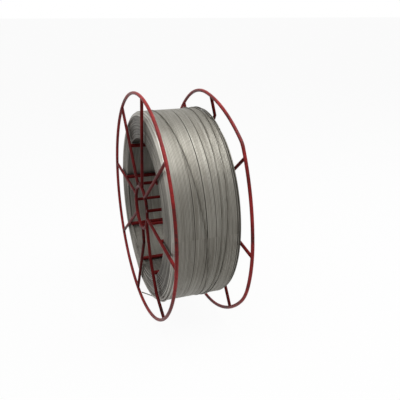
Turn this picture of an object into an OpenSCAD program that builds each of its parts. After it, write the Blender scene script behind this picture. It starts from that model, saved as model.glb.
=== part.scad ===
// Basket spool of steel wire. Two welded rod flanges, each a rim with eight
// spokes and a hub ring, are held apart by barrel bars and hub bars, and the
// wire is wound on the barrel bars. The spool's axis lies along X, it stands
// on its rims, and the origin is the middle of the spool on its axis.

/* [Flanges] */
// Outside diameter of the rims
rim_od = 300; // [270:1:340]
// Width over the two rims
basket_w = 95; // [85:1:115]
// Diameter of the rod the rims are rolled from
rim_rod = 4.2; // [4.2:0.1:6]
// Diameter of the rod the spokes are cut from
spoke_rod = 4; // [3:0.1:4]
// Angle of the first spoke above level
spoke_turn = 8.5; // [0:0.5:40]

/* [Hub] */
// Bore of the hub rings, which turns on a spindle
hub_bore = 52; // [50:0.5:60]
// Diameter of the rod the hub rings are rolled from
hub_rod = 4.2; // [4.2:0.1:5.5]
// Diameter of the hub bars
hub_bar_rod = 4; // [3:0.5:5]

/* [Barrel] */
// Diameter over the barrel bars
barrel_od = 181; // [160:1:200]
// Diameter of the barrel bars
barrel_rod = 5; // [4:0.5:6]
// Depth that a welded bar sinks on to what carries it
weld_sink = 0.5; // [0.2:0.1:1]

/* [Bent spoke] */
// Angle that the bent spoke's hub end lies back from its place
bent_back = 15; // [0:1:20]
// Angle that the bent spoke's rim end lies ahead of its place
bent_ahead = 8; // [1:1:12]
// Distance of the bend from the axis
bent_at = 48; // [44:1:60]
// Radius of the bend on the rod's centre line
bent_r = 8; // [6:1:12]
// How much thicker a rod is where it is bent
bent_swell = 0.1; // [0.1:0.1:0.5]

/* [Knocked right flange] */
// Depth of the right rim's dents, 1 as they are and 0.2 nearly beaten out
dent_share = 1; // [0.2:0.1:1.2]
// How far the spoke under the upper dent bows out
bow_out = 5; // [2:0.5:7]
// Distance of the bow's foot from the axis
bow_foot = 100; // [95:1:106]
// Distance of the bow's peak from the axis
bow_peak = 120; // [114:1:126]

/* [Wire] */
// Outside diameter of the wound wire
coil_od = 250; // [225:1:260]
// Diameter of the wire
wire_d = 1.6; // [1.2:0.2:2.4]
// Gap between the wound wire and the rods that hold it
coil_gap = 0.3; // [0.2:0.1:1]
// Turns by which the last layer stops short at each end
short_turns = 2; // [1:1:4]
// Width of the gaps that opened between turns of the last layer
turn_gap = 1.2; // [0.8:0.2:2]
// Angle at which the wire's free end lies against the rim
tail_turn = 282; // [276:1:286]

/* [Hidden] */
$fn = 96;
spoke_count = 8;
spoke_step = 360 / spoke_count;
// Angles of the hub bars, which were welded on by eye
hub_bar_turns = [0, 85, 170, 289];
// Angles by which the hub end and the rim end of each spoke lie off its place,
// and by which each barrel bar does, as these were welded by eye too
left_slips = [[11, 0], [8, -1], [4, 0], [-8, -2], [4, 0], [-20, -2], [0, 0], [5, 2.6]];
right_slips = [[2.5, 2.5], [0, 0], [0, -2], [0, 0], [0, 0], [0, 0], [0, 7], [0, 0]];
bar_slips = [2.2, 0, 0, -1.6, 0, 2, 5.5, 0.8];
// The left flange's bent spoke, and the bowed one of each flange
bent_spoke = 6;
left_bowed = 5;
right_bowed = 2;
// Bends of the left bowed spoke: axial shift, and distances along and across its place
left_bends = [[-0.2, 70, 5.2], [-0.2, 115, 8]];
flange_x = (basket_w - rim_rod) / 2;
rim_r = (rim_od - rim_rod) / 2;
hub_r = (hub_bore + hub_rod) / 2;
// Hub bars sit on the outside of both hub rings
hub_bar_r = (hub_bore + hub_bar_rod) / 2 + hub_rod - weld_sink;
barrel_r = (barrel_od - barrel_rod) / 2;
bar_end = flange_x - spoke_rod / 2 + weld_sink;
hub_bar_end = flange_x + hub_rod / 2 - weld_sink;
coil_r = coil_od / 2;
bore_r = barrel_od / 2 + coil_gap;
coil_x = flange_x - spoke_rod / 2 - coil_gap;
// Layers nest in each other's hollows, so a layer adds less than a wire
layer_h = wire_d * sqrt(3) / 2;
layers = floor((coil_r - bore_r) / layer_h);
layer_rise = (coil_r - bore_r) / layers;
// Depth of the last layer's plain surface under the coil's outside
skin = 0.06 * layer_rise;
// Straight run and turn of the bent spoke, from its bend to the rim
bent_dy = rim_r * cos(bent_back + bent_ahead) - bent_at;
bent_dz = rim_r * sin(bent_back + bent_ahead);
bent_turn = atan2(bent_dz, bent_dy);
bent_cut = bent_r * tan(bent_turn / 2);
bent_run = sqrt(bent_dy * bent_dy + bent_dz * bent_dz);
// Length by which the straight runs reach into the bend
bent_lap = 2 * bent_swell;
// Arcs of the right rim's knocked stretch: the angle of the rim's normal where
// each ends, and how much its radius differs from the rim's
dent_from = 66;
dents = [[96, -25], [124, 83], [150, -123], [176, 92], [200, 2]];
// The last two arcs bring the stretch back on to the rim's circle
home_turns = [224, 251.2];
home_1 = spread(dents[4][0], home_turns[0]);
home_2 = spread(home_turns[0], home_turns[1]);
drift = drift_of(len(dents) - 1);
home_det = home_1[0] * home_2[1] - home_1[1] * home_2[0];
knocks = dent_share * concat(
    [for (d = dents) d[1]],
    [(drift[1] * home_2[0] - drift[0] * home_2[1]) / home_det],
    [(drift[0] * home_1[1] - drift[1] * home_1[0]) / home_det]
);
knock_turns = concat(dent_from, [for (d = dents) d[0]], home_turns);
// Angle by which one arc laps into the next, thicker one
dent_lap = 0.1;
// Gaps in the last layer, by their axial places
gap_places = [-16, -1, 10];
// Loose last turns: axial place, tilt, and the angle at which each crosses it
loose_turns = [[-8, 7.3, 158], [20, -2.3, 140], [26, -3.6, 160]];
// The free end leaves the last layer on a straight line to the rim
tail_r = coil_r - wire_d;
tail_back = acos(tail_r / rim_r);
tail_from = [-coil_x + (short_turns + 2) * wire_d, tail_r, 0];
tail_run = rim_r * sin(tail_back);
tail_in = flange_x - (rim_rod + wire_d) / 2 - coil_gap;
tail_drift = atan2(tail_from[0] + tail_in, tail_run);
tail_len = tail_run / cos(tail_drift);
paint = [0.55, 0.06, 0.08];
steel = [0.62, 0.61, 0.58];

// Angle of a spoke's place, counted from the first one
function place(i) = spoke_turn + i * spoke_step;

// Unit step across the flange at an angle, and from one angle to another
function heading(a) = [cos(a), sin(a)];
function spread(a, b) = heading(b) - heading(a);

// Where the arcs up to dent k would leave the rim's circle
function drift_of(k) =
    dents[k][1] * spread(k == 0 ? dent_from : dents[k - 1][0], dents[k][0])
    + (k == 0 ? [0, 0] : drift_of(k - 1));

// Centre of knocked arc k, so that it runs on smoothly from the one before
function arc_centre(k) =
    k == 0 ? -knocks[0] * heading(dent_from)
    : arc_centre(k - 1) + (knocks[k - 1] - knocks[k]) * heading(knock_turns[k]);

// Angle, seen from the axis, of the start of knocked arc k
function arc_start(k) =
    let (p = arc_centre(k) + (rim_r + knocks[k]) * heading(knock_turns[k]))
    (atan2(p[1], p[0]) + 360) % 360;

// Distance along heading u from the axis to a circle with this centre
function circle_reach(u, centre, r) =
    u * centre + sqrt(pow(u * centre, 2) - centre * centre + r * r);

// Distance from the axis to the right rim's centre line at an angle
function right_reach(a) =
    let (hit = [
        for (k = [0 : len(knocks) - 1])
            if (a >= arc_start(k) && (k == len(knocks) - 1
                ? a < home_turns[1] : a < arc_start(k + 1)))
                circle_reach(heading(a), arc_centre(k), rim_r + knocks[k])
    ])
    len(hit) > 0 ? hit[0] : rim_r;

// Ends and bends of a spoke: axial shift, and distances along and across its place
function slip(side, i) = side < 0 ? left_slips[i] : right_slips[i];
function reach(side, a) = side < 0 ? rim_r : right_reach(a);
function end_at(r, a) = r * [0, cos(a), sin(a)];
function bends(side, i) =
    side < 0 && i == left_bowed ? left_bends
    : side > 0 && i == right_bowed
        ? [[0, bow_foot, 0], [side * bow_out, bow_peak, 0]]
    : [];
function spoke_path(side, i) =
    let (a = slip(side, i))
    concat(
        [end_at(hub_r, a[0])],
        bends(side, i),
        [end_at(reach(side, place(i) + a[1]), a[1])]
    );

// A ring of round rod about the spool's axis
module ring(x, r, rod) {
    translate([x, 0, 0])
        rotate([0, 90, 0])
            rotate_extrude()
                translate([r, 0])
                    circle(d = rod);
}

// A straight rod along Y, from one distance from the axis to another
module radial_rod(from, to, rod) {
    translate([0, from, 0])
        rotate([-90, 0, 0])
            cylinder(d = rod, h = to - from);
}

// A straight rod along X, centred between the flanges
module axial_rod(half, rod) {
    translate([-half, 0, 0])
        rotate([0, 90, 0])
            cylinder(d = rod, h = 2 * half);
}

// Part of a ring of round rod in the right flange's plane
module right_arc(centre, r, rod, from, to) {
    translate([flange_x, centre[0], centre[1]])
        rotate([0, 90, 0])
            rotate([0, 0, from + 90])
                rotate_extrude(angle = to - from)
                    translate([r, 0])
                        circle(d = rod);
}

// The right rim: its round stretch, and the knocked arcs, every second one
// thicker so that its neighbours end inside it
module right_ring() {
    right_arc(
        [0, 0], rim_r, rim_rod, home_turns[1] - dent_lap, 360 + dent_from + dent_lap
    );
    for (k = [0 : len(knocks) - 1])
        let (thick = (k + 1) % 2, lap = (1 - thick) * dent_lap)
            right_arc(
                arc_centre(k), rim_r + knocks[k], rim_rod + thick * bent_swell,
                knock_turns[k] - lap, knock_turns[k + 1] + lap
            );
}

module rim_ring(side) {
    if (side < 0) ring(-flange_x, rim_r, rim_rod);
    else right_ring();
}

module rim(side) {
    color(paint)
        rim_ring(side);
}

module hub_ring(side) {
    color(paint)
        ring(side * flange_x, hub_r, hub_rod);
}

// A straight rod between two places
module rod_between(from, to, rod) {
    run = to - from;
    translate(from)
        rotate([0, acos(run[2] / norm(run)), atan2(run[1], run[0])])
            cylinder(d = rod, h = norm(run));
}

// A spoke before its ends are fitted to the hub ring and the rim, straight or
// with bends between its ends
module plain_rod(side, i) {
    path = spoke_path(side, i);
    rotate([place(i), 0, 0])
        translate([side * flange_x, 0, 0]) {
            for (k = [1 : len(path) - 1])
                rod_between(path[k - 1], path[k], spoke_rod);
            for (k = [1 : 1 : len(path) - 2])
                translate(path[k])
                    rotate([0, side < 0 ? 90 : 0, 0])
                        sphere(d = spoke_rod + bent_swell);
        }
}

// The knocked spoke: a short run out from the hub, a bend, a run to the rim
module bent_rod(side, i) {
    rotate([place(i) - bent_back, 0, 0])
        translate([side * flange_x, 0, 0]) {
            radial_rod(hub_r, bent_at - bent_cut + bent_lap, spoke_rod);
            translate([0, bent_at - bent_cut, bent_r])
                rotate([0, 90, 0])
                    rotate_extrude(angle = bent_turn)
                        translate([bent_r, 0])
                            circle(d = spoke_rod + bent_swell);
            translate([0, bent_at, 0])
                rotate([bent_turn, 0, 0])
                    radial_rod(bent_cut - bent_lap, bent_run, spoke_rod);
        }
}

module spoke_rod_at(side, i) {
    if (side < 0 && i == bent_spoke) bent_rod(side, i);
    else plain_rod(side, i);
}

// A spoke with both ends shaped to sit against the ring and the rim
module spoke(side, i) {
    color(paint)
        difference() {
            spoke_rod_at(side, i);
            rim_ring(side);
            ring(side * flange_x, hub_r, hub_rod);
        }
}

// A bar between the flanges, its ends sunk on to the spokes at its place
module barrel_bar(i) {
    color(paint)
        difference() {
            rotate([place(i) + bar_slips[i], 0, 0])
                translate([0, barrel_r, 0])
                    axial_rod(bar_end, barrel_rod);
            spoke_rod_at(-1, i);
            spoke_rod_at(1, i);
        }
}

// A bar that lies across the two hub rings, sunk on to them
module hub_bar(n) {
    color(paint)
        difference() {
            rotate([hub_bar_turns[n], 0, 0])
                translate([0, hub_bar_r, 0])
                    axial_rod(hub_bar_end, hub_bar_rod);
            for (side = [-1, 1])
                ring(side * flange_x, hub_r, hub_rod);
        }
}

// How far the end of layer k stands back from the end of the coil: every
// second layer by half a wire, and the last ones in steps
function stand_back(k) =
    (k % 2) * wire_d / 2 + max(0, k + 1 + short_turns - layers) * wire_d;

// Edge of the coil's end in half section, one rounded turn for each layer
function coil_edge(side) = [
    for (k = [0 : layers - 1])
        for (t = [0.06, 0.25, 0.5, 0.75, 0.94])
            [
                bore_r + (k + t) * layer_rise,
                side * (coil_x - stand_back(k) - wire_d * 2 * (t - 0.5) * (t - 0.5))
            ]
];

function turned(list) = [for (i = [len(list) - 1 : -1 : 0]) list[i]];

// Notches in the last layer where its turns have parted
function coil_gaps() = [
    for (x = gap_places)
        for (p = [[0, -0.5], [wire_d / 2, -0.3], [wire_d / 2, 0.3], [0, 0.5]])
            [coil_r - skin - p[0], x + p[1] * turn_gap]
];

// A last turn that lies loose and aslant over the coil
module loose_turn(x, tilt, turn) {
    translate([x, 0, 0])
        rotate(a = tilt, v = [0, cos(turn), sin(turn)])
            ring(0, (coil_r + wire_d / 4) / sqrt(cos(tilt)), wire_d);
}

// The wound wire, one turned solid under its loose last turns, with its free
// end tucked inside the rim
module wire_coil() {
    color(steel) {
        rotate([0, 90, 0])
            rotate_extrude()
                polygon(concat(coil_edge(-1), coil_gaps(), turned(coil_edge(1))));
        for (t = loose_turns)
            loose_turn(t[0], t[1], t[2]);
        rotate([tail_turn - tail_back, 0, 0])
            translate(tail_from)
                rotate([0, -tail_drift, 0])
                    cylinder(d = wire_d, h = tail_len);
    }
}

rim(-1);  // left_rim
rim(1);  // right_rim
hub_ring(-1);  // left_hub_ring
hub_ring(1);  // right_hub_ring
spoke(-1, 0);  // left_spoke_1
spoke(-1, 1);  // left_spoke_2
spoke(-1, 2);  // left_spoke_3
spoke(-1, 3);  // left_spoke_4
spoke(-1, 4);  // left_spoke_5
spoke(-1, 5);  // left_spoke_6
spoke(-1, 6);  // left_spoke_7
spoke(-1, 7);  // left_spoke_8
spoke(1, 0);  // right_spoke_1
spoke(1, 1);  // right_spoke_2
spoke(1, 2);  // right_spoke_3
spoke(1, 3);  // right_spoke_4
spoke(1, 4);  // right_spoke_5
spoke(1, 5);  // right_spoke_6
spoke(1, 6);  // right_spoke_7
spoke(1, 7);  // right_spoke_8
hub_bar(0);  // hub_bar_1
hub_bar(1);  // hub_bar_2
hub_bar(2);  // hub_bar_3
hub_bar(3);  // hub_bar_4
barrel_bar(0);  // barrel_bar_1
barrel_bar(1);  // barrel_bar_2
barrel_bar(2);  // barrel_bar_3
barrel_bar(3);  // barrel_bar_4
barrel_bar(4);  // barrel_bar_5
barrel_bar(5);  // barrel_bar_6
barrel_bar(6);  // barrel_bar_7
barrel_bar(7);  // barrel_bar_8
wire_coil();
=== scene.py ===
"""Looks for a basket spool of steel wire: painted rods, welds, and the wound wire turn by turn."""

import math

import bpy
import numpy as np
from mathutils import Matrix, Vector

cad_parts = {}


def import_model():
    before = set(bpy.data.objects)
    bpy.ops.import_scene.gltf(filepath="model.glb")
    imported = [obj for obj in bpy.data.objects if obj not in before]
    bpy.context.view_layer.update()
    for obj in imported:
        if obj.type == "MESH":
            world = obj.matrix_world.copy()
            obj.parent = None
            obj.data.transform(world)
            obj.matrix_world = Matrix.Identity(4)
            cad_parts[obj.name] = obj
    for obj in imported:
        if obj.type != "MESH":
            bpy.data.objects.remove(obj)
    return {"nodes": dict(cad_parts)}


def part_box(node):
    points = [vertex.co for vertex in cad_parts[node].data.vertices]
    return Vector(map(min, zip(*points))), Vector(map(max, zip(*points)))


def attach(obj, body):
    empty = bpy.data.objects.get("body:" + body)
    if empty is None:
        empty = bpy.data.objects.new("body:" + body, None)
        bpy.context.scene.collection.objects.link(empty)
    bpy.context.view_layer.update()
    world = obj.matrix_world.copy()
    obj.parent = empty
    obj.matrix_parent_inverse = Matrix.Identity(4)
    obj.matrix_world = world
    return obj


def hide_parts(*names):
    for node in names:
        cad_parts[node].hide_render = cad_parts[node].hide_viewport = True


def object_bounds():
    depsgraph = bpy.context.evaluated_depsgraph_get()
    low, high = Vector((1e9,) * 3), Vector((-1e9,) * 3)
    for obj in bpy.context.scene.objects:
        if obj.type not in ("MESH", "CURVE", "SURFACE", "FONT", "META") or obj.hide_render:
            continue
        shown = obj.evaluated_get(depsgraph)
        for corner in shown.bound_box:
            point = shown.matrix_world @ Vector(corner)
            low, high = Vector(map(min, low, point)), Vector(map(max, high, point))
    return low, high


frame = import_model()
cad_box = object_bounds()
nodes = frame["nodes"]

# Driving sizes in millimetres, and counts, as in the part's source.
RIM_OD = 300
BASKET_W = 95
RIM_ROD = 4.2
SPOKE_ROD = 4
SPOKES = 8
HUB_BORE = 52
HUB_ROD = 4.2
HUB_BARS = 4
BARREL_OD = 181
COIL_OD = 250
COIL_GAP = 0.3
WIRE = 1.6
# Turns by which the last layer stops short at each end.
SHORT_TURNS = 2

# Sizes that follow from them. Axial places count from the middle of the spool.
FLANGE_X = (BASKET_W - RIM_ROD) / 2
RIM_R = (RIM_OD - RIM_ROD) / 2
HUB_R = (HUB_BORE + HUB_ROD) / 2
COIL_R = COIL_OD / 2
BORE_R = BARREL_OD / 2 + COIL_GAP
COIL_X = FLANGE_X - SPOKE_ROD / 2 - COIL_GAP
# Layers nest in each other's hollows, so a layer adds less than a wire.
LAYERS = int((COIL_R - BORE_R) / (WIRE * math.sqrt(3) / 2))
RISE = (COIL_R - BORE_R) / LAYERS

FULL = 2 * np.pi
# Metres in a millimetre, and millimetres in a metre.
METRES = 0.001
MILLIMETRES = 1000.0


def ease(a, b, t):
    """0 up to a, 1 from b on, and a smooth rise between them."""
    u = np.clip((t - a) / (b - a), 0.0, 1.0)
    return u * u * (3.0 - 2.0 * u)


def waves(t, seed, low, high):
    """A smooth wavy value round the circle, about -1 to 1, of low to high waves."""
    r = np.random.default_rng(seed)
    total = np.zeros_like(t)
    for k in range(low, high + 1):
        total += r.normal() * np.cos(k * t + r.uniform(0, FULL)) / k ** 0.5
    return total / 2.0


def uneven(t, turns, seed):
    """A value that wanders from one half turn of a helix to the next, -1 to 1."""
    values = np.random.default_rng(seed).uniform(-1, 1, 2 * turns + 2)
    return np.interp(t / FULL * 2, np.arange(len(values)), values)


def around(x, r, t):
    """Points at axial place x, distance r from the axis and angle t."""
    return np.stack([x + 0 * t, r * np.cos(t), r * np.sin(t)], -1)


def mesh_from(name, verts, faces, material):
    """A smooth object from points in millimetres."""
    mesh = bpy.data.meshes.new(name)
    mesh.from_pydata((np.asarray(verts) * METRES).tolist(), [], faces)
    mesh.polygons.foreach_set("use_smooth", [True] * len(mesh.polygons))
    mesh.materials.append(material)
    mesh.update()
    obj = bpy.data.objects.new(name, mesh)
    bpy.context.scene.collection.objects.link(obj)
    return obj


def tubes(name, paths, material, sides=6):
    """One mesh of round wires, one for each path of points that goes round the axis."""
    verts = []
    faces = []
    base = 0
    turn = np.linspace(0, FULL, sides, endpoint=False)
    for path in paths:
        n = len(path)
        run = np.gradient(path, axis=0)
        run /= np.linalg.norm(run, axis=1)[:, None]
        out = path * np.array([0.0, 1.0, 1.0])
        out -= (out * run).sum(1)[:, None] * run
        out /= np.linalg.norm(out, axis=1)[:, None]
        side = np.cross(run, out)
        offset = np.cos(turn)[:, None] * out[:, None] + np.sin(turn)[:, None] * side[:, None]
        verts.append((path[:, None] + WIRE / 2 * offset).reshape(-1, 3))
        i = np.arange(n - 1)[:, None] * sides
        j = np.arange(sides)[None]
        k = (j + 1) % sides
        quads = np.stack([i + j, i + k, i + sides + k, i + sides + j], -1)
        faces.extend((quads.reshape(-1, 4) + base).tolist())
        faces.append([base + s for s in range(sides)][::-1])
        faces.append([base + (n - 1) * sides + s for s in range(sides)])
        base += n * sides
    return mesh_from(name, np.concatenate(verts), faces, material)


# Materials

# Part of a noise's range that a shader's roughness follows, and the noise's own roughness.
NOISE_LOW = 0.3
NOISE_HIGH = 0.7
NOISE_ROUGHNESS = 0.55
# Wire: scales of its streaks and its drawing marks, across the turns and along them.
STREAKS = (420.0, 1.3)
DRAWN = (3000.0, 6.0)
# Scale of the cloudy patches on the wire, and their share in its tone.
CLOUD_SCALE = 14.0
CLOUD_SHARE = 0.4
# Noise values at which the wire has its dark and its light tone.
DARK_AT = 0.34
LIGHT_AT = 0.66
# How much rougher the dark streaks are, and how much smoother the light ones.
ROUGHER = 0.1
SMOOTHER = 0.06
METALLIC = 0.85
# Paint: scales of its dirt patches, its fine dirt and its peel, and the fine dirt's share.
PATCH_SCALE = 26.0
FINE_SCALE = 420.0
PEEL_SCALE = 900.0
FINE_SHARE = 0.3
# Paint from dirty to rubbed: the noise value, and the colour before its level scales it.
REDS = (
    (0.36, (0.24, 0.045, 0.04)),
    (0.44, (0.6, 0.04, 0.04)),
    (0.56, (1.0, 0.075, 0.075)),
    (0.7, (1.6, 0.15, 0.155)),
)


def new_material(name):
    """A new material, its links and its main shader."""
    mat = bpy.data.materials.new(name)
    mat.use_nodes = True
    return mat, mat.node_tree.links, mat.node_tree.nodes["Principled BSDF"]


def node(mat, kind, **values):
    """A new node in a material or a world, with these settings."""
    n = mat.node_tree.nodes.new(kind)
    for key, value in values.items():
        setattr(n, key, value)
    return n


def maths(mat, op, *values):
    """The result of a maths node on numbers or other nodes' results."""
    n = node(mat, "ShaderNodeMath", operation=op)
    for i, v in enumerate(values):
        if isinstance(v, (int, float)):
            n.inputs[i].default_value = v
        else:
            mat.node_tree.links.new(v, n.inputs[i])
    return n.outputs[0]


def ramp(mat, source, stops):
    """A colour that follows a value: each stop has a value and the colour there."""
    n = node(mat, "ShaderNodeValToRGB")
    els = n.color_ramp.elements
    while len(els) < len(stops):
        els.new(0.5)
    for el, (place, colour) in zip(els, stops):
        el.position = place
        el.color = (*colour, 1.0)
    mat.node_tree.links.new(source, n.inputs[0])
    return n.outputs[0]


def noise(mat, vector, scale, detail):
    """A noise value at these coordinates."""
    n = node(mat, "ShaderNodeTexNoise")
    n.inputs["Scale"].default_value = scale
    n.inputs["Detail"].default_value = detail
    n.inputs["Roughness"].default_value = NOISE_ROUGHNESS
    mat.node_tree.links.new(vector, n.inputs["Vector"])
    return n.outputs["Fac"]


def between(mat, source, low, high):
    """A value that follows a noise, from low where it is low to high where it is high."""
    n = node(mat, "ShaderNodeMapRange")
    n.inputs["From Min"].default_value = NOISE_LOW
    n.inputs["From Max"].default_value = NOISE_HIGH
    n.inputs["To Min"].default_value = low
    n.inputs["To Max"].default_value = high
    mat.node_tree.links.new(source, n.inputs["Value"])
    return n.outputs["Result"]


def along_turns(mat, place, across, along):
    """Coordinates stretched along the wire's turns: scale across them, and round the axis."""
    xyz = node(mat, "ShaderNodeSeparateXYZ")
    mat.node_tree.links.new(place, xyz.inputs[0])
    x, y, z = xyz.outputs
    angle = maths(mat, "ARCTAN2", z, y)
    y_square = maths(mat, "MULTIPLY", y, y)
    z_square = maths(mat, "MULTIPLY", z, z)
    away = maths(mat, "SQRT", maths(mat, "ADD", y_square, z_square))
    n = node(mat, "ShaderNodeCombineXYZ")
    for i, (value, scale) in enumerate(((x, across), (angle, along), (away, across))):
        mat.node_tree.links.new(maths(mat, "MULTIPLY", value, scale), n.inputs[i])
    return n.outputs[0]


def mixed(mat, a, b, share):
    """A mix of two values, with this share of the second."""
    rest = maths(mat, "MULTIPLY", a, 1 - share)
    return maths(mat, "ADD", rest, maths(mat, "MULTIPLY", b, share))


def bump(mat, bsdf, height, strength, distance):
    """Gives a shader fine relief that follows a height."""
    n = node(mat, "ShaderNodeBump")
    n.inputs["Strength"].default_value = strength
    n.inputs["Distance"].default_value = distance
    mat.node_tree.links.new(height, n.inputs["Height"])
    mat.node_tree.links.new(n.outputs[0], bsdf.inputs["Normal"])


def steel_wire(name, dark, light, rough):
    """Drawn steel wire, streaked along its turns from a dark to a light tone."""
    mat, links, bsdf = new_material(name)
    place = node(mat, "ShaderNodeTexCoord").outputs["Object"]
    streak = noise(mat, along_turns(mat, place, *STREAKS), scale=1.0, detail=4.0)
    cloud = noise(mat, place, CLOUD_SCALE, detail=3.0)
    tone = mixed(mat, streak, cloud, CLOUD_SHARE)
    colour = ramp(mat, tone, [(DARK_AT, dark), (LIGHT_AT, light)])
    links.new(colour, bsdf.inputs["Base Color"])
    roughness = between(mat, streak, rough + ROUGHER, rough - SMOOTHER)
    links.new(roughness, bsdf.inputs["Roughness"])
    bsdf.inputs["Metallic"].default_value = METALLIC
    drawn = noise(mat, along_turns(mat, place, *DRAWN), scale=1.0, detail=2.0)
    bump(mat, bsdf, drawn, strength=0.2, distance=0.0001)
    return mat


def red_paint(name, level, specular):
    """Red paint with dirt in patches: level scales its colours, which gives the lighter and darker
    copies of one paint.
    """
    mat, links, bsdf = new_material(name)
    place = node(mat, "ShaderNodeTexCoord").outputs["Object"]
    patch = noise(mat, place, PATCH_SCALE, detail=4.0)
    fine = noise(mat, place, FINE_SCALE, detail=3.0)
    stops = [(value, [level * c for c in colour]) for value, colour in REDS]
    colour = ramp(mat, mixed(mat, patch, fine, FINE_SHARE), stops)
    links.new(colour, bsdf.inputs["Base Color"])
    links.new(between(mat, patch, low=0.32, high=0.5), bsdf.inputs["Roughness"])
    bsdf.inputs["Specular IOR Level"].default_value = specular
    peel = noise(mat, place, PEEL_SCALE, detail=2.0)
    bump(mat, bsdf, peel, strength=0.18, distance=0.0003)
    return mat


WIRE_MAT = steel_wire("drawn_steel_wire", (0.17, 0.159, 0.134), (0.308, 0.299, 0.265), rough=0.44)
# Darker copy of the wire for the body and the first layer: painted shade in the hollows and gaps
# between the turns.
SUNK_SHADE_MAT = steel_wire("sunk_steel_wire_painted_shade", (0.128, 0.119, 0.1), (0.228, 0.22, 0.195), rough=0.46)
# Darker copy of the wire for the loose turns, the free end and the right edge: painted shadow
# along them.
PAINTED_SHADOW_WIRE_MAT = steel_wire("steel_wire_painted_shadow", (0.1, 0.092, 0.075), (0.18, 0.17, 0.145), rough=0.46)
END_MAT = steel_wire("end_turn_steel_wire", (0.058, 0.053, 0.044), (0.25, 0.237, 0.208), rough=0.4)
# Lighter copy of the wire for the left edge's outer end turns: a painted highlight.
PAINTED_HIGHLIGHT_WIRE_MAT = steel_wire("steel_wire_painted_highlight", (0.27, 0.258, 0.228), (0.47, 0.456, 0.414), rough=0.38)
# Lighter copy of the red paint for the rims and darker copy for the other rods and the welds:
# painted light and painted shade.
LIT_PAINT_MAT = red_paint("red_paint_painted_light", level=0.25, specular=0.14)
SHADED_PAINT_MAT = red_paint("red_paint_painted_shade", level=0.12, specular=0.05)

for name, obj in nodes.items():
    obj.data.materials.clear()
    if name == "wire_coil":
        obj.data.materials.append(WIRE_MAT)
    else:
        # The rims take the lighter copy of the paint as painted light, the other rods the darker
        # copy as painted shade.
        obj.data.materials.append(LIT_PAINT_MAT if name.endswith("_rim") else SHADED_PAINT_MAT)
    obj.data.polygons.foreach_set("use_smooth", [True] * len(obj.data.polygons))


# The wound wire

# First of the outer layers, whose end turns have a tone of their own: lighter on the left as a
# painted highlight, darker on the right as painted shadow.
EDGE = LAYERS - 4
# Loose last turns: axial place, tilt, and the angle at which each crosses that place.
LOOSE_TURNS = ((-8, 7.3, 158), (20, -2.3, 140), (26, -3.6, 160))
# Gaps in the last layer: axial place, half width, first and last angle.
GAPS = ((-16, 0.5, 140, 232), (-1, 0.5, 70, 300), (10, 0.5, 95, 215))
# Degrees over which a gap opens or closes, and how far from it the turns still move.
GAP_EASE = 18
GAP_REACH = 7.0
# The wire's free end: the angle at the rim and its axial place there.
TAIL_TURN = 282.0
TAIL_X = -(FLANGE_X - (RIM_ROD + WIRE) / 2 - COIL_GAP)
# Depth of the last layer under the coil's outside.
LAST_DEPTH = 0.1
# Wires by which the first layer stops short at each end.
FIRST_SHORT = 1.6
# How far single turns wander along the axis and away from it.
WANDER_X = 0.08
WANDER_R = 0.05
# End turns: how far their ends tuck into the coil, and how slack they lie on it.
TUCK = 1.3
SLACK = 0.2
# Shares of an end turn at which it is out, starts to climb, starts to tuck in, and ends.
OUT_AT = 0.05
CLIMB_AT = 0.78
TUCK_AT = 0.93
TURN_END = 1.02
# Seeds: wander of the turns, end turns of the left and right side, and the lift of these.
SEED_X = 3
SEED_R = 5
END_SEEDS = {-1: 100, 1: 300}
LIFT_SEED = 7
# Points along each turn, along the free end, and round the plain body.
LAST_STEPS = 150
FIRST_STEPS = 110
END_STEPS = 151
LOOSE_STEPS = 181
TAIL_STEPS = 40
BODY_STEPS = 160


def stand_back(k):
    """How far the end of layer k stands back from the end of the coil."""
    return (k % 2) * WIRE / 2 + max(0, k + 1 + SHORT_TURNS - LAYERS) * WIRE


def turned_body():
    """Plain inner body that the turns lie half sunk in, with a groove under each gap."""
    low = BORE_R + 1.0
    shoulder = COIL_R - 2.5 * RISE
    high = COIL_R - 0.5
    groove = high - 1.5 * WIRE
    end = COIL_X - 1.7
    step = COIL_X - 5.4
    profile = [(-end, low), (-end, shoulder), (-step, high)]
    for place, half, *_ in GAPS:
        profile += [(place - half, high), (place - half, groove)]
        profile += [(place + half, groove), (place + half, high)]
    profile += [(step, high), (step + 1.0, shoulder), (end, shoulder), (end, low)]
    t = np.linspace(0, FULL, BODY_STEPS, endpoint=False)
    rows = [around(x, r, t) for x, r in profile]
    faces = []
    for k in range(len(profile)):
        row = k * BODY_STEPS
        following = (k + 1) % len(profile) * BODY_STEPS
        for i in range(BODY_STEPS):
            j = (i + 1) % BODY_STEPS
            faces.append([row + i, row + j, following + j, following + i])
    # The body's darker steel is painted shade that shows through the gaps and hollows.
    return mesh_from("coil_body", np.concatenate(rows), faces, SUNK_SHADE_MAT)


def parted(x, t):
    """Moves a turn at axial place x aside where a gap opens beside it."""
    deg = np.degrees(t) % 360.0
    move = np.zeros_like(t)
    for place, half, first, last in GAPS:
        opened = ease(first, first + GAP_EASE, deg) * (1 - ease(last - GAP_EASE, last, deg))
        move += np.sign(x - place) * half * opened * np.exp(-np.abs(x - place) / GAP_REACH)
    return x + move


def helix(name, half, r, steps, material):
    """One layer of turns from end to end, each a little out of true."""
    turns = int(2 * half / WIRE)
    t = np.linspace(0, FULL * turns, turns * steps + 1)
    x = half * (2 * t / t[-1] - 1) + WANDER_X * uneven(t, turns, SEED_X)
    away = r + WANDER_R * uneven(t, turns, SEED_R)
    return tubes(name, [around(parted(x, t), away, t)], material)


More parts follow.
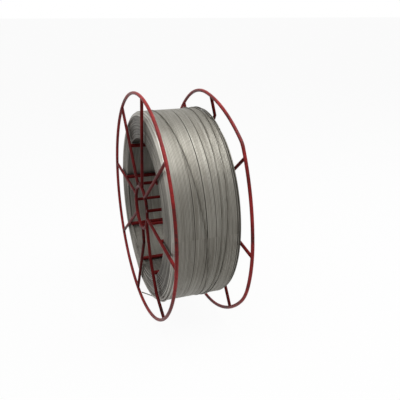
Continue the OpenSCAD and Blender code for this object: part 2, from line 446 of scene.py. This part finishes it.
def end_turns(side, name, layers, material):
    """An end of the coil: the last turn of each layer, which climbs to the next layer."""
    paths = []
    for k in layers:
        seed = END_SEEDS[side] + k
        start = np.random.default_rng(seed).uniform(0, FULL)
        t = start + np.linspace(0, TURN_END * FULL, END_STEPS)
        u = (t - start) / FULL
        climb = RISE * ease(CLIMB_AT, 1.0, u)
        tuck = TUCK * (1 - ease(0.0, OUT_AT, u) + ease(TUCK_AT, TURN_END, u))
        slack = SLACK * (1 + waves(t, seed, low=1, high=5))
        # On the right the last layer but one stands half a wire further out.
        open_step = WIRE / 2 if side > 0 and k == LAYERS - 2 else 0.0
        x = COIL_X - WIRE / 2 - stand_back(k) + open_step - tuck - np.maximum(slack, 0)
        lift = WANDER_R * waves(t, seed + LIFT_SEED, low=2, high=6)
        r = BORE_R + (k + 0.5) * RISE + climb + lift
        paths.append(around(side * x, r, t))
        # On the left the last layers show the turn behind their end turn too.
        if side < 0 and k >= LAYERS - SHORT_TURNS - 1:
            inner = COIL_X - WIRE / 2 - stand_back(k) - WIRE
            paths.append(around(side * inner, BORE_R + (k + 0.5) * RISE, t))
    return tubes(name, paths, material)


def loose_turn(x, tilt, turn):
    """A turn that lies aslant over the last layer."""
    r = (COIL_R + WIRE / 4) / math.sqrt(math.cos(math.radians(tilt)))
    t = np.linspace(0, FULL, LOOSE_STEPS)
    across = r * math.sin(math.radians(tilt)) * np.sin(t - math.radians(turn))
    return around(x + across, np.sqrt(r * r - across * across), t)


def tail():
    """The free end, which leaves the coil on a straight line to the rim."""
    r = COIL_R - WIRE
    end = math.radians(TAIL_TURN)
    leave = end - math.acos(r / RIM_R)
    x = -COIL_X + (SHORT_TURNS + 2) * WIRE
    start = np.array([x, r * math.cos(leave), r * math.sin(leave)])
    goal = np.array([TAIL_X, RIM_R * math.cos(end), RIM_R * math.sin(end)])
    return start + np.linspace(0, 1, TAIL_STEPS)[:, None] * (goal - start)


last_x = COIL_X - WIRE / 2 - stand_back(LAYERS - 1) - WIRE
last_r = COIL_R - LAST_DEPTH - WIRE / 2
first_x = COIL_X - FIRST_SHORT * WIRE
first_r = BORE_R + WIRE / 2
loose_paths = [loose_turn(*values) for values in LOOSE_TURNS] + [tail()]
body = turned_body()
last_layer = helix("coil_last_layer", last_x, last_r, LAST_STEPS, WIRE_MAT)
coil = [
    body,
    last_layer,
    # The first layer's darker steel is painted shade.
    helix("coil_first_layer", first_x, first_r, FIRST_STEPS, SUNK_SHADE_MAT),
    end_turns(-1, "coil_left_end", range(EDGE), END_MAT),
    # The left edge's lighter steel is a painted highlight.
    end_turns(-1, "coil_left_edge", range(EDGE, LAYERS), PAINTED_HIGHLIGHT_WIRE_MAT),
    end_turns(1, "coil_right_end", [*range(EDGE), LAYERS - 1], END_MAT),
    # The right edge's darker steel is a painted shadow band.
    end_turns(1, "coil_right_edge", range(EDGE, LAYERS - 1), PAINTED_SHADOW_WIRE_MAT),
    # The darker steel of the loose turns and the free end is painted shadow.
    tubes("loose_turns", loose_paths, PAINTED_SHADOW_WIRE_MAT, sides=8),
]
for piece in coil:
    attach(piece, "root")
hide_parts("wire_coil")


# Welds

# Half sizes of the beads: along the axis, away from it, and round it.
HUB_BEAD = (1.8, 1.5, 2.7)
RIM_BEAD = (1.8, 1.5, 2.8)
BARREL_BEAD = (1.4, 2.6, 2.7)
HUB_BAR_BEAD = (1.5, 1.3, 3.0)
# The barrel bars' beads lie at the inner side of the spokes.
BARREL_BEAD_X = FLANGE_X - SPOKE_ROD / 2
# Length at the end of a spoke that counts as its end.
SPOKE_END = 2.0
# Shares by which a bead swells and shrinks round itself, in three waves and in two.
BEAD_WAVE_3 = 0.08
BEAD_WAVE_2 = 0.06
BEAD_SEED = 500
# Points along a bead and round it.
BEAD_ROWS = 8
BEAD_COLS = 12


def spoke_ends(name):
    """Axial place, distance from the axis and angle of a spoke's hub end and rim end."""
    obj = nodes[name]
    places = np.array([obj.matrix_world @ v.co for v in obj.data.vertices]) * MILLIMETRES
    away = np.hypot(places[:, 1], places[:, 2])
    ends = []
    for near in (away < away.min() + SPOKE_END, away > away.max() - SPOKE_END):
        x, y, z = places[near].mean(0)
        ends.append((x, math.hypot(y, z), math.atan2(z, y)))
    return ends


def bar_place(name):
    """Distance from the axis and angle of a bar."""
    low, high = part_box(name)
    y, z = [MILLIMETRES / 2 * (low[i] + high[i]) for i in (1, 2)]
    return math.hypot(y, z), math.atan2(z, y)


def weld_places():
    """Each weld's axial place, distance from the axis, angle, and half sizes along those."""
    spots = []
    for side, hand in ((-1, "left"), (1, "right")):
        for i in range(1, SPOKES + 1):
            hub, rim = spoke_ends("%s_spoke_%d" % (hand, i))
            spots.append((*hub, *HUB_BEAD))
            spots.append((*rim, *RIM_BEAD))
            spots.append((side * BARREL_BEAD_X, *bar_place("barrel_bar_%d" % i), *BARREL_BEAD))
        for i in range(1, HUB_BARS + 1):
            r, turn = bar_place("hub_bar_%d" % i)
            spots.append((side * FLANGE_X, (HUB_R + r) / 2, turn, *HUB_BAR_BEAD))
    return spots


def weld_beads():
    """A small painted bead where each rod meets the next."""
    verts = []
    faces = []
    base = 0
    down = np.linspace(0, np.pi, BEAD_ROWS)
    about = np.linspace(0, FULL, BEAD_COLS, endpoint=False)
    p, q = np.meshgrid(down, about, indexing="ij")
    for n, (x, r, turn, half_x, half_r, half_t) in enumerate(weld_places()):
        phase = np.random.default_rng(BEAD_SEED + n).uniform(0, FULL, 2)
        ripple = BEAD_WAVE_3 * np.sin(3 * q + phase[0]) + BEAD_WAVE_2 * np.cos(2 * q + phase[1])
        swell = 1 + np.sin(p) * ripple
        across = half_x * swell * np.cos(p)
        out = r + half_r * swell * np.sin(p) * np.cos(q)
        beside = half_t * swell * np.sin(p) * np.sin(q)
        y = out * math.cos(turn) - beside * math.sin(turn)
        z = out * math.sin(turn) + beside * math.cos(turn)
        verts.append(np.stack([x + across, y, z], -1).reshape(-1, 3))
        for i in range(BEAD_ROWS - 1):
            lower = base + i * BEAD_COLS
            upper = lower + BEAD_COLS
            for j in range(BEAD_COLS):
                k = (j + 1) % BEAD_COLS
                faces.append([lower + j, lower + k, upper + k, upper + j])
        base += BEAD_ROWS * BEAD_COLS
    return mesh_from("weld_beads", np.concatenate(verts), faces, SHADED_PAINT_MAT)


welds = weld_beads()
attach(welds, "root")


# Floor, light and camera

# Lengths are in metres, and the camera's lens and sensor in millimetres.
FLOOR_TONE = 0.65
FLOOR_ROUGHNESS = 0.9
FLOOR_HALF = 40.0
FLOOR_DROP = 0.0002
# Share of white in the floor, and strength of the world, for the rays that show them.
FLOOR_WHITE = 0.95
WORLD_WHITE = 1.0
# Strength of the world for all other rays, which light the object.
WORLD_LIGHT = 0.12
LAMP_PLACE = (0.25, -0.28, 1.1)
LAMP_WIDTH = 2.4
LAMP_DEPTH = 1.0
LAMP_POWER = 30.0
# The camera's place, and the direction from what it looks at back to it.
CAMERA_PLACE = (-0.19935, -0.62875, 0.24149)
CAMERA_BACK = (-0.33085, -0.88072, 0.33892)
CAMERA_LENS = 46.81
CAMERA_SENSOR = 36.0
CAMERA_NEAR = 0.01


def seen_rays(tree):
    """1 for the rays that show the background: camera, glossy and transmission rays."""
    path = node(tree, "ShaderNodeLightPath")
    either = maths(tree, "MAXIMUM", path.outputs["Is Camera Ray"], path.outputs["Is Glossy Ray"])
    return maths(tree, "MAXIMUM", either, path.outputs["Is Transmission Ray"])


def floor():
    """A plain pale floor, nearly white to the rays that show it."""
    mat, links, bsdf = new_material("pale_floor")
    bsdf.inputs["Base Color"].default_value = (FLOOR_TONE, FLOOR_TONE, FLOOR_TONE, 1)
    bsdf.inputs["Roughness"].default_value = FLOOR_ROUGHNESS
    glow = node(mat, "ShaderNodeEmission")
    mixer = node(mat, "ShaderNodeMixShader")
    links.new(maths(mat, "MULTIPLY", seen_rays(mat), FLOOR_WHITE), mixer.inputs[0])
    links.new(bsdf.outputs[0], mixer.inputs[1])
    links.new(glow.outputs[0], mixer.inputs[2])
    links.new(mixer.outputs[0], mat.node_tree.nodes["Material Output"].inputs["Surface"])
    s = FLOOR_HALF
    mesh = bpy.data.meshes.new("floor")
    mesh.from_pydata([(-s, -s, 0), (s, -s, 0), (s, s, 0), (-s, s, 0)], [], [[0, 1, 2, 3]])
    mesh.materials.append(mat)
    obj = bpy.data.objects.new("floor", mesh)
    obj.location = (0, 0, cad_box[0][2] - FLOOR_DROP)
    bpy.context.scene.collection.objects.link(obj)


def world():
    """An even white studio, dim as a light and white where it is seen."""
    w = bpy.data.worlds.new("studio")
    w.use_nodes = True
    bpy.context.scene.world = w
    level = node(w, "ShaderNodeMapRange")
    level.inputs["To Min"].default_value = WORLD_LIGHT
    level.inputs["To Max"].default_value = WORLD_WHITE
    back = w.node_tree.nodes["Background"]
    w.node_tree.links.new(seen_rays(w), level.inputs["Value"])
    w.node_tree.links.new(level.outputs["Result"], back.inputs["Strength"])
    back.inputs["Color"].default_value = (1, 1, 1, 1)


def softbox():
    """A level area lamp that shines down."""
    data = bpy.data.lights.new("overhead", "AREA")
    data.shape = "RECTANGLE"
    data.size = LAMP_WIDTH
    data.size_y = LAMP_DEPTH
    data.energy = LAMP_POWER
    obj = bpy.data.objects.new("overhead", data)
    obj.location = LAMP_PLACE
    bpy.context.scene.collection.objects.link(obj)


def camera():
    """A camera at the photo's viewing angle."""
    data = bpy.data.cameras.new("camera")
    data.sensor_width = CAMERA_SENSOR
    data.lens = CAMERA_LENS
    data.clip_start = CAMERA_NEAR
    obj = bpy.data.objects.new("camera", data)
    obj.location = CAMERA_PLACE
    obj.rotation_euler = (-Vector(CAMERA_BACK)).to_track_quat("-Z", "Y").to_euler()
    bpy.context.scene.collection.objects.link(obj)
    bpy.context.scene.camera = obj


floor()
world()
softbox()
camera()
bpy.context.scene.view_settings.view_transform = "Standard"
